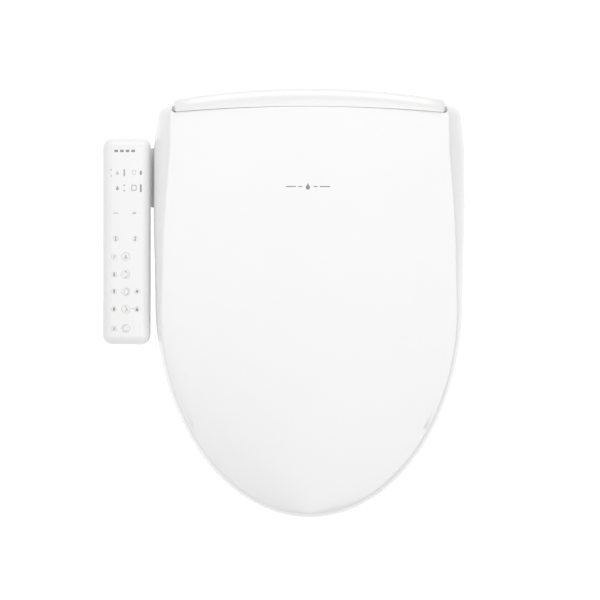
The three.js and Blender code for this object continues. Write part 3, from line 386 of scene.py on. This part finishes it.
def skirt_edge_z(y):
    """Lower edge of the skirt: it rises at the back to meet the round ear."""
    start_y, start_z = -25, LID_EDGE_REAR_Z + 1
    away = math.hypot(AXIS_Y - start_y, AXIS_Z - start_z)
    rise_angle = math.atan2(AXIS_Z - start_z, AXIS_Y - start_y) - math.asin(EAR_R / away)
    tangent_y = AXIS_Y + EAR_R * math.sin(rise_angle)
    tangent_z = AXIS_Z - EAR_R * math.cos(rise_angle)
    rise = start_z + (tangent_z - start_z) * (y - start_y) / (tangent_y - start_y)
    low = np.where(y < start_y, skirt_foot_z(y), rise)
    return np.where(y > tangent_y, AXIS_Z - ear_reach(y), low)


def skirt_inset(y, z):
    """How far the skirt stands in from the outline: most at the crease, not at all at its foot."""
    drop = (crease_z(y) - z) / (crease_z(y) - skirt_foot_z(y))
    return crease_inset(y) * (1 - np.clip(drop, 0, 1)) ** 3


def rim_z(y, ear_start):
    """Height of the crease, which follows the round ear behind ear_start."""
    return np.minimum(crease_z(y), AXIS_Z + np.where(y > ear_start, ear_reach(y), ABOVE_LID))


def side_x(y, inset):
    """Half width at y, inset from the outline, with the rear corner rounded."""
    beyond = np.clip(y - (REAR_Y - CORNER_R), 0, CORNER_R)
    return half_width(y) - CORNER_R + np.sqrt(CORNER_R**2 - beyond**2) - inset


def nose_points(angles, inset):
    """Points on the front half ellipse, each moved in along its normal by inset(y)."""
    length = NOSE_Y - FRONT_Y
    nose = np.stack([NOSE_HALF_WIDTH * np.cos(angles), NOSE_Y - length * np.sin(angles)], 1)
    normal = np.stack([nose[:, 0] / NOSE_HALF_WIDTH**2, (nose[:, 1] - NOSE_Y) / length**2], 1)
    normal /= np.linalg.norm(normal, axis=1, keepdims=True)
    return nose - normal * inset(nose[:, 1])[:, None]


def half_ring(end_y, inset, z, scale=1.0):
    """Right half of a U-shaped ring, from its rear end to the front tip, as points."""
    side_steps, nose_steps = 70, 56
    y = NOSE_Y + (end_y - NOSE_Y) * np.sin(np.linspace(math.pi / 2, 0, side_steps + 1))[:-1]
    side = np.stack([side_x(y, inset(y)), y], 1)
    flat = np.vstack([side, nose_points(np.linspace(0, math.pi / 2, nose_steps + 1), inset)])
    flat[-1, 0] = 0
    return np.column_stack([flat[:, 0] * scale, flat[:, 1], z(flat[:, 1])])


def whole_ring(half):
    """A half ring followed by its mirror image."""
    return np.vstack([half, (half * (-1, 1, 1))[-2::-1]])


def lid_surface_z(x, y):
    """Height of the lid's top at a point inside its crease."""
    across = x / side_x(y, crease_inset(y))
    return crease_z(y) + LID_CROWN * (1 - across**2)


def skirt_ring(share):
    """Ring at this share of the way down the skirt."""
    def z(y):
        top = rim_z(y, AXIS_Y)
        return top + (skirt_edge_z(y) - top) * share

    return half_ring(REAR_Y - 0.02, lambda y: skirt_inset(y, z(y)), z)


def edge_ring(inward, drop, end_y):
    """Ring on the rounded edge inside the crease."""
    return half_ring(end_y, lambda y: crease_inset(y) + inward,
                     lambda y: rim_z(y, AXIS_Y + 6) - drop)


def top_ring(scale):
    """Ring on the crowned top, at this share of the way out from the middle line."""
    end_y = float(seam_y(scale * EAR_INNER_X)) + SEAM_LAP
    return half_ring(end_y, crease_inset,
                     lambda y: crease_z(y) + LID_CROWN * (1 - scale * scale), scale)


def build_lid():
    skirt = [1, 0.97, 0.9, 0.8, 0.7, 0.6, 0.5, 0.4, 0.31, 0.23, 0.16, 0.1, 0.055, 0.025]
    edge = [(0.25, 0.35, 38), (1.0, 0.06, 34.5), (2.2, 0, 32.3), (4.2, 0, 31.2)]
    top = [0.968, 0.94, 0.88, 0.78, 0.66, 0.54, 0.42, 0.3, 0.2, 0.1, 0]
    rings = [skirt_ring(share) for share in skirt]
    rings += [edge_ring(*step) for step in edge]
    rings += [top_ring(scale) for scale in top]
    mesh = grid_mesh("lid_cover", [whole_ring(r) for r in rings])
    piece = link("lid_cover", tidy_mesh(mesh), "lid", "white_gloss")
    wall = piece.modifiers.new("wall", "SOLIDIFY")
    wall.thickness = LID_WALL * MM
    wall.offset = -1
    wall.use_even_offset = True
    wall.use_quality_normals = True
    wall.thickness_clamp = 1.0
    bevel(piece, 0.45, 3, 60)
    shade(piece, 60)
    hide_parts("lid_shell")

    for name, side in (("left", -1), ("right", 1)):
        knuckle = lid_knuckle(f"lid_knuckle_{name}", side)
        shade(link(f"lid_knuckle_{name}", knuckle, "lid", "white_gloss"), 40)


def lid_knuckle(name, side):
    """The thick place that holds the hinge pin: flat inside, its outer end buried in the ear."""
    a = np.linspace(0, 2 * math.pi, 64, endpoint=False)
    rings = []
    for radius, chamfer, inner in (
        (PIN_R, 0, True), (11.2, 0, True), (11.8, 0.2, True), (KNUCKLE_R, 0.6, True),
        (KNUCKLE_R, 0.6, False), (10, 0, False), (8, 0, False), (PIN_R, 0, False),
    ):
        y = AXIS_Y + radius * np.cos(a)
        z = AXIS_Z + radius * np.sin(a)
        skin = side_x(y, skirt_inset(y, z)) - LID_WALL / 2
        face = KNUCKLE_X + chamfer
        x = np.full(len(a), face) if inner else np.maximum(face + 0.1, skin)
        rings.append(np.column_stack([side * x, y, z]))
    return tidy_mesh(grid_mesh(name, rings, closed=True, loop=True))


# ---------------------------------------------------------------- seat ring


def seat_top_z(y):
    along = np.maximum(0, (y - FRONT_Y) / (SEAT_REAR_Y - FRONT_Y))
    return SEAT_TOP_FRONT + SEAT_TOP_RISE * along**1.3


def bridge_share(x, y):
    """1 on the raised bridge at the back of the ring, 0 on the rest of it."""
    return (1 - smooth(abs(x), 84, 112)) * smooth(y, -215, -165)


def seat_outline():
    """Outer edge of the ring, all the way round, with even steps along its straight back."""
    side = []
    for a in np.radians(np.linspace(0, 90, 9)):
        y = SEAT_REAR_Y - CORNER_R + CORNER_R * math.cos(a)
        x = half_width(y) - CORNER_R + CORNER_R * math.sin(a) - SEAT_INSET
        side.append((x, y))
    for y in np.linspace(SEAT_REAR_Y - CORNER_R, NOSE_Y, 14)[1:-1]:
        side.append((half_width(y) - SEAT_INSET, y))
    nose = nose_points(np.radians(np.linspace(0, 90, 50)), lambda y: np.full(len(y), SEAT_INSET))
    right = np.vstack([side, nose])
    left = (right * (-1, 1))[-2::-1]
    back = [(x, SEAT_REAR_Y) for x in np.linspace(-right[0, 0], right[0, 0], 60)[1:-1]]
    return np.vstack([right, left, back])


def sweep_ring(name, section):
    """Sweeps a closed section, section(width, bridge share), round the seat's opening."""
    rings = []
    for x, y in seat_outline():
        out = np.array([x, y - HOLE_Y])
        ray = out / np.linalg.norm(out)
        reach = (abs(ray[0] / HOLE_HALF_WIDTH) ** HOLE_POWER
                 + abs(ray[1] / HOLE_HALF_LENGTH) ** HOLE_POWER)
        inn = ray * reach ** (-1 / HOLE_POWER)
        width = np.linalg.norm(out - inn)
        share = bridge_share(x, y)
        ring = []
        for distance, height in section(width, share):
            p = out + (inn - out) * distance / width
            ring.append((p[0], p[1] + HOLE_Y, height(p[1] + HOLE_Y)))
        rings.append(ring)
    return tidy_mesh(grid_mesh(name, rings, closed=True, loop=True))


def split_z(share):
    """Top of the base half, where the two halves of the ring meet."""
    return SEAT_SPLIT_Z + BRIDGE_RAISE * 0.8 * share


def seat_top_section(width, share):
    """Upper half: (distance from the outer edge, function giving the height at y)."""
    split = split_z(share) + GAP
    inset = min(14, width * 0.3)
    crown = spline([
        (0, -14), (0, -10), (inset * 0.12, -5.6), (inset * 0.45, -1.7), (inset, 0),
        (width * 0.35, 0), (width * 0.55, -1), (width * 0.72, -2.6), (width * 0.87, -5.2),
        (width * 0.97, -9), (width, -13), (width, -15),
    ], 4)
    points = [(0, lambda y: split)]
    points += [(d, lambda y, h=h: max(seat_top_z(y) + h, split + 0.6)) for d, h in crown]
    points += [
        (width, lambda y: split),
        (width - 2.6, lambda y: split),
        (width - 3, lambda y: max(seat_top_z(y) - 16, split + 0.6)),
        (width * 0.55, lambda y: seat_top_z(y) - 5),
        (max(4, inset), lambda y: seat_top_z(y) - 4),
        (3, lambda y: seat_top_z(y) - 12),
        (2.6, lambda y: split),
    ]
    return points


def seat_base_section(width, share):
    """Lower half: a shallow tray, as (distance from the outer edge, function giving the height)."""
    split = split_z(share)
    low = SEAT_BOTTOM_Z + BRIDGE_RAISE * share
    floor = min(low + SEAT_WALL, split - 0.8)
    shoulder = min(low + 3, split - 0.6)
    rounding = [(0, shoulder), (0.25, low + 1.6), (1, low + 0.5), (2.4, low)]
    rounding = [(d, min(h, shoulder)) for d, h in rounding]
    outline = [(0, split), *rounding]
    outline += [(width - d, h) for d, h in reversed(rounding)]
    outline += [(width, split), (width - SEAT_WALL, split), (width - SEAT_WALL, floor),
                (SEAT_WALL, floor), (SEAT_WALL, split)]
    return [(d, lambda y, h=h: h) for d, h in outline]


def arm_plate(name, side):
    """Hinge arm of the seat: a plate with a rounded edge all round and a hole for its bush."""
    outline = [(-126, 53), (-116, 52.5)]
    for a in np.radians(np.linspace(-63, 118, 32)):
        outline.append((AXIS_Y + KNUCKLE_R * math.cos(a), AXIS_Z + KNUCKLE_R * math.sin(a)))
    outline += [(-112, 64), (-126, 60)]
    hole_r = BUSH_R + GAP
    hole = [(AXIS_Y + hole_r * math.cos(a), AXIS_Z + hole_r * math.sin(a))
            for a in np.radians(np.arange(0, 360, 10))]
    half = (ARM_OUTER_X - ARM_INNER_X) / 2
    edge = 1.6
    mesh = flat_plate(name, [outline, hole], half - edge, edge)
    upright = Matrix(((0, 0, 1, 0), (1, 0, 0, 0), (0, 1, 0, 0), (0, 0, 0, 1)))  # its axis along X
    middle = side * (ARM_INNER_X + ARM_OUTER_X) / 2 * MM
    mesh.transform(Matrix.Translation((middle, 0, 0)) @ upright)
    return mesh


def flat_plate(name, outlines, half_depth, edge=0.0):
    """A plate about z = 0, from outlines in millimetres: first its rim, then its holes."""
    curve = bpy.data.curves.new(name, "CURVE")
    curve.dimensions = "2D"
    curve.fill_mode = "BOTH"
    curve.extrude = half_depth * MM
    curve.bevel_depth = edge * MM
    curve.offset = -edge * MM
    curve.bevel_resolution = 3
    for outline in outlines:
        line = curve.splines.new("POLY")
        line.points.add(len(outline) - 1)
        line.use_cyclic_u = True
        for point, (x, y) in zip(line.points, outline):
            point.co = (x * MM, y * MM, 0, 1)
    holder = bpy.data.objects.new(name, curve)
    bpy.context.scene.collection.objects.link(holder)
    bpy.context.view_layer.update()
    graph = bpy.context.evaluated_depsgraph_get()
    mesh = bpy.data.meshes.new_from_object(holder.evaluated_get(graph))
    mesh.name = name
    bpy.data.objects.remove(holder)
    bpy.data.curves.remove(curve)
    return tidy_mesh(mesh, 1e-6)


def build_seat():
    mesh = sweep_ring("seat_ring_top", seat_top_section)
    top = link("seat_ring_top", mesh, "seat", "white_gloss")
    shade(top, 50)
    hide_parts("seat_top_shell")
    mesh = sweep_ring("seat_ring_base", seat_base_section)
    base = link("seat_ring_base", mesh, "seat", "white_gloss")
    shade(base, 50)
    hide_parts("seat_bottom_shell")
    for name, side in (("left", -1), ("right", 1)):
        arm = arm_plate(f"seat_arm_{name}", side)
        shade(link(f"seat_arm_{name}", arm, "seat", "white_gloss"), 40)


# ---------------------------------------------------------------- side panel


def place_on_panel(mesh):
    """Moves a mesh from the panel's own frame, tilted and at its top, into the row frame."""
    mesh.transform(Matrix.Scale(MM, 4) @ PANEL @ Matrix.Scale(1 / MM, 4))


def panel_ring(inset, z):
    """Outline of the panel, in its own frame, this far inside its edge."""
    half_x, half_y = (half - inset for half in PANEL_HALF)
    r = max(1.2, PANEL_CORNER - inset)
    return [(x, y, z) for x, y in rounded_box(0, 0, half_x, half_y, r, 14)]


def panel_shell(name, sections):
    """A tray-shaped case: an outer skin and an inner one a wall inside it, joined at the seam."""
    outer = [panel_ring(inset, z) for inset, z in sections]
    lift = PANEL_WALL if sections[-1][1] < sections[0][1] else -PANEL_WALL
    inner = [panel_ring(inset + PANEL_WALL, z + (lift if i else 0))
             for i, (inset, z) in enumerate(sections)]
    rings = [*reversed(outer), *inner]
    count = len(rings[0])
    mesh = grid_mesh(name, rings, closed=True)
    cap_rows(mesh, (0, count), ((len(rings) - 1) * count, count))
    place_on_panel(mesh)
    return tidy_mesh(mesh)


def key_layout():
    """Every key: its place in the panel's frame and its radius, from the CAD keys' boxes."""
    keys = {}
    into_panel = PANEL.inverted()
    for name in NODES:
        if name.startswith("key_"):
            low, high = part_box(name)
            radius = (high.x - low.x) / MM / 2 - 1
            centre = into_panel @ ((low + high) / 2 / MM)
            keys[name] = (centre.x, centre.y, radius)
    return keys


def disc(name, profile, x, y):
    """A turned piece standing in the panel's frame, from a profile of (radius, height)."""
    a = np.linspace(0, 2 * math.pi, 48, endpoint=False)
    rings = [np.column_stack([x + radius * np.cos(a), y + radius * np.sin(a), np.full(len(a), z)])
             for radius, z in profile]
    mesh = grid_mesh(name, rings, closed=True)
    place_on_panel(mesh)
    return tidy_mesh(mesh)


def build_panel():
    crown = spline([(0, PANEL_SEAM), (0, -10), (1, -6), (3.4, -3), (7, -1), (11, 0), (13, 0)], 5)
    upper = panel_shell("panel_top_case", [(max(0, i), min(0, z)) for i, z in crown])
    top = link("panel_top_case", upper, "housing", "panel_white")
    cutters = []
    for name, (x, y, radius) in key_layout().items():
        r = radius + KEY_GAP
        hole = disc(f"hole_{name}", [(0, -8), (r, -8), (r, 3), (0, 3)], x, y)
        cutter = bpy.data.objects.new(f"hole_{name}", hole)
        bpy.context.scene.collection.objects.link(cutter)
        cutters.append(cutter)
    cut_away(top, cutters)
    shade(top, 40)
    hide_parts("panel_upper_case")

    bowl = spline([(0, PANEL_SEAM - GAP), (0, -33), (1.2, -39), (4, -42.5),
                   (9, -PANEL_HEIGHT), (11, -PANEL_HEIGHT)], 5)
    lower = panel_shell("panel_bottom_case", [(max(0, i), max(-PANEL_HEIGHT, z)) for i, z in bowl])
    bottom = link("panel_bottom_case", lower, "housing", "panel_white")
    shade(bottom, 40)
    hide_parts("panel_lower_case")

    for name, (x, y, r) in key_layout().items():
        profile = [
            (0, -12.6), (1.5, -12.6), (1.5, -5.2), (r + 1, -5.2), (r + 1, -3.9), (r, -3.9),
            (r, -0.15), (r - 0.1, 0.1), (r - 0.35, 0.24), (r - 0.8, 0.25),
            (r * 0.5, 0.08), (0, 0.02),
        ]
        cap = link(f"cap_{name}", disc(f"cap_{name}", profile, x, y), name, "key_white")
        shade(cap, 50)
        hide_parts(name)


def cut_away(piece, cutters):
    """Cuts other solids out of a piece, applies the result and deletes the cutters."""
    for cutter in cutters:
        modifier = piece.modifiers.new(cutter.name, "BOOLEAN")
        modifier.operation = "DIFFERENCE"
        modifier.solver = "EXACT"
        modifier.object = cutter
    bpy.context.view_layer.update()
    graph = bpy.context.evaluated_depsgraph_get()
    mesh = bpy.data.meshes.new_from_object(piece.evaluated_get(graph))
    piece.modifiers.clear()
    old = piece.data
    piece.data = mesh
    bpy.data.meshes.remove(old)
    for cutter in cutters:
        bpy.data.objects.remove(cutter)


# ---------------------------------------------------------------- printed marks


def bar(x, y, width, height, corner=math.inf):
    """A small bar with corners of this radius, or with round ends if that is more than fits."""
    r = min(width / 2, height / 2, corner)
    return rounded_box(x, y, width / 2, height / 2, r, 5)


def drop(x, y, r):
    """A water drop, pointed at its top."""
    points = [(x, y + 2.1 * r)]
    for a in np.radians(np.linspace(35, -215, 28)):
        points.append((x + r * math.cos(a), y + r * math.sin(a)))
    return points


def arrow(x, y, size):
    """An arrowhead pointing to the back."""
    return [(x, y + size), (x - size * 0.9, y - size * 0.6), (x + size * 0.9, y - size * 0.6)]


def frame_mark(x, y, width, height, line):
    """An upright box drawn as a line: its outline and the hole in it."""
    return [bar(x, y, width, height, 1.2), bar(x, y, width - 2 * line, height - 2 * line, 0.6)]


def part_ring(x, y, width, height, line, start, end):
    """Part of an oval ring, from one angle to another, in degrees."""
    angles = np.radians(np.linspace(start, end, 22))
    outer, inner = (
        [(x + (width / 2 - depth) * math.cos(a), y + (height / 2 - depth) * math.sin(a))
         for a in angles]
        for depth in (0, line)
    )
    return [*outer, *reversed(inner)]


def panel_mark(name, outlines, body, z, material):
    """A printed mark standing on the height z of the panel's own frame."""
    mesh = flat_plate(name, outlines, MARK_HALF_DEPTH)
    mesh.transform(Matrix.Translation((0, 0, (z + MARK_HALF_DEPTH) * MM)))
    place_on_panel(mesh)
    link(name, mesh, body, "panel_white", material)


def key_marks(name, x, y):
    """The plain pictogram on one key, as a list of marks, each with its outlines."""
    if name in ("key_lid", "key_seat"):
        return [[arrow(x, y + 1.5, 1.3)], [bar(x, y - 1.5, 1.3, 3)]]
    row, column = name.split("_")[1:]
    if column == "centre":
        return {
            "a": [[drop(x, y - 1.2, 1.9)]],
            "b": [[bar(x, y + 3.3, 2.8, 1.9)], [bar(x, y - 3.3, 2.8, 1.9)],
                  [part_ring(x, y, 6, 6, 0.45, -80, 80)]],
            "c": [[part_ring(x, y, 7.6, 8.4, 1.0, -100, 100)], [bar(x - 2, y, 0.6, 6)]],
            "d": [[part_ring(x - 2, y, 7, 8.4, 1.1, -75, 75)], [drop(x + 1.6, y - 0.8, 1.1)]],
            "e": [[part_ring(x, y, 7.2, 8, 0.8, 70, 290)], [bar(x + 1.4, y - 2.6, 3, 0.8)]],
        }[row]
    if column == "left":
        width, height = {"a": (1.6, 3.6), "b": (1.5, 5.2), "c": (1.9, 4.4), "d": (2.2, 4.4),
                         "e": (2.8, 3.4)}[row]
        return [[bar(x, y, width, height)]]
    return {"c": [[bar(x, y, 2.8, 2.8, 0.8)]], "d": [[drop(x, y - 1, 1.6)]]}[row]


def build_marks():
    """Plain pictograms on the keys, indicator marks above them, and a drop on the lid."""
    for name, (x, y, _) in key_layout().items():
        pale = name.endswith("centre") or name.split("_")[1] in "ae"
        z = 0.24 if name.endswith("centre") else 0.26  # about level with the cap's rim
        for i, outlines in enumerate(key_marks(name, x, y)):
            panel_mark(f"mark_{name}_{i}", outlines, name, z + 0.003 * i,
                       PRINT_PALE if pale else PRINT)

    left, inner, outer, right = -11.5, -3, 9, 17.5
    indicators = [
        ([drop(left, 85, 1.7)], PRINT_PALE),
        ([bar(inner, 86, 1.8, 9)], PRINT_MID),
        (frame_mark(outer, 86.5, 5, 5.5, 0.6), PRINT_PALE),
        ([bar(right, 86, 2.6, 5.4)], PRINT),
        ([drop(left, 66.2, 1.9)], PRINT_MID),
        ([bar(inner, 70.5, 2.4, 2.6)], PRINT_PALE),
        ([bar(inner, 63.8, 2.4, 2.6)], PRINT_PALE),
        (frame_mark(outer, 67.3, 6.4, 7.2, 1.0), PRINT_MID),
        ([bar(right, 66.8, 2.1, 10)], PRINT),
        ([bar(-13.4, 36, 6.5, 1.3)], PRINT_PALE),
        ([bar(9.4, 36, 5, 2.2)], PRINT_PALE),
        ([bar(-19.3, 89.5, 1.2, 3)], PRINT_PALE),
        ([bar(-19.3, 82.3, 1.2, 3)], PRINT_PALE),
        ([bar(7, -82.6, 5, 0.5)], PRINT_PALE),
    ]
    indicators += [([bar(x, 113, 4.6, 3, 0.9)], PRINT) for x in (-13, -6, 1, 8)]
    for i, (outlines, material) in enumerate(indicators):
        panel_mark(f"indicator_{i}", outlines, "housing", 0.01, material)

    outlines = [drop(0, 0, 2.6)]
    outlines += [bar(x, 1.2, width, 1.3)
                 for x, width in ((-21, 13), (21, 13), (-9.5, 5), (9.5, 5))]
    for i, outline in enumerate(outlines):
        mesh = flat_plate(f"lid_mark_{i}", [outline], MARK_HALF_DEPTH)
        for vertex in mesh.vertices:
            x, y = vertex.co.x / MM - 2, vertex.co.y / MM - 61.5
            z = float(lid_surface_z(x, y)) + (0.06 if vertex.co.z > 0 else -0.02)
            vertex.co = Vector((x, y, z)) * MM
        link(f"lid_mark_{i}", mesh, "lid", "white_gloss", PRINT)


# ---------------------------------------------------------------- carried-over CAD nodes


def finish_cad_nodes():
    """Every CAD node gets its slot's material, welded smooth faces and softened edges."""
    slots = {item["node"]: item["material_slot"] for item in frame["record"]["subparts"]}
    wide_edges = {"housing_cover": 0.5, "base_tray": 0.8, "panel_arm": 1.5, "release_button": 1.0,
                  "mounting_plate": 0.8}
    for name, node in NODES.items():
        node.data.materials.clear()
        node.data.materials.append(MATERIALS[slots[name]])
        weld = node.modifiers.new("weld", "WELD")
        weld.merge_threshold = 1e-5
        bevel(node, wide_edges.get(name, 0.3), 3 if name in wide_edges else 2, 40)
        node.data.shade_smooth()
        smooth_by_angle(node, 40)


def smooth_by_angle(node, angle):
    """Marks sharp edges on the node's own mesh, whose points stay as they are."""
    bm = bmesh.new()
    bm.from_mesh(node.data)
    found = {}
    for face in bm.faces:
        for edge in face.edges:
            ends = tuple(sorted(tuple(round(c, 6) for c in v.co) for v in edge.verts))
            found.setdefault(ends, []).append((edge.index, face.normal.copy()))
    sharp = set()
    for uses in found.values():
        if len(uses) < 2 or uses[0][1].angle(uses[1][1], 0) > math.radians(angle):
            sharp.update(index for index, _ in uses)
    bm.free()
    flags = np.zeros(len(node.data.edges), bool)
    flags[list(sharp)] = True
    attribute = node.data.attributes.get("sharp_edge")
    attribute = attribute or node.data.attributes.new("sharp_edge", "BOOLEAN", "EDGE")
    attribute.data.foreach_set("value", flags)


# ---------------------------------------------------------------- floor, light and camera


def build_floor():
    """A pale floor that glows a little, so that it is as even and bright as the photo's ground."""
    half = 6
    corners = [(-half, -half, 0), (half, -half, 0), (half, half, 0), (-half, half, 0)]
    mesh = bpy.data.meshes.new("floor")
    mesh.from_pydata(corners, [], [(0, 1, 2, 3)])
    floor = bpy.data.objects.new("floor", mesh)
    bpy.context.scene.collection.objects.link(floor)
    material, tree, shader = new_material("floor")
    speckle = add_node(tree, "ShaderNodeTexNoise", Scale=40.0)
    tint = tree.nodes.new("ShaderNodeValToRGB")
    tint.color_ramp.elements[0].color = (0.59, 0.59, 0.59, 1)
    tint.color_ramp.elements[1].color = (0.6, 0.6, 0.6, 1)
    tree.links.new(speckle.outputs["Fac"], tint.inputs["Fac"])
    tree.links.new(tint.outputs["Color"], shader.inputs["Base Color"])
    shader.inputs["Roughness"].default_value = 0.9
    shader.inputs["Emission Color"].default_value = (1, 1, 1, 1)
    shader.inputs["Emission Strength"].default_value = 0.72
    floor.data.materials.append(material)


def build_light():
    """A plain studio: an even white world, and three broad lamps aimed at the seat."""
    world = bpy.data.worlds.new("studio")
    bpy.context.scene.world = world
    world.use_nodes = True
    background = world.node_tree.nodes["Background"]
    background.inputs["Color"].default_value = (1, 1, 1, 1)
    background.inputs["Strength"].default_value = 0.4

    middle = (cad_low + cad_high) / 2
    for name, offset, size, power in (
        ("key", (0.42, -0.4, 2.6), 1.8, 27),
        ("fill", (-1.6, -0.3, 1.9), 1.6, 10),
        ("rear", (0.1, 1.9, 1.5), 1.4, 17),
    ):
        lamp = bpy.data.lights.new(name, "AREA")
        lamp.shape = "SQUARE"
        lamp.size = size
        lamp.energy = power
        holder = bpy.data.objects.new(name, lamp)
        holder.location = middle + Vector(offset)
        holder.rotation_euler = (-Vector(offset)).to_track_quat("-Z", "Y").to_euler()
        bpy.context.scene.collection.objects.link(holder)
    bpy.context.scene.view_settings.view_transform = "Standard"


def build_camera():
    """Straight down from above, from far enough to be nearly without perspective."""
    field = 0.742  # width of the view at the height of the lid's outline
    distance = 16
    level = 0.09  # that height
    camera = bpy.data.cameras.new("camera")
    camera.sensor_width = 36
    camera.lens = camera.sensor_width * distance / field
    camera.clip_end = 60
    holder = bpy.data.objects.new("camera", camera)
    holder.location = (-0.0115, -0.2003, level + distance)
    holder.rotation_euler = (0, 0, math.radians(0.1))
    bpy.context.scene.collection.objects.link(holder)
    bpy.context.scene.camera = holder


build_camera()
build_floor()
build_light()
finish_cad_nodes()
build_lid()
build_seat()
build_panel()
build_marks()
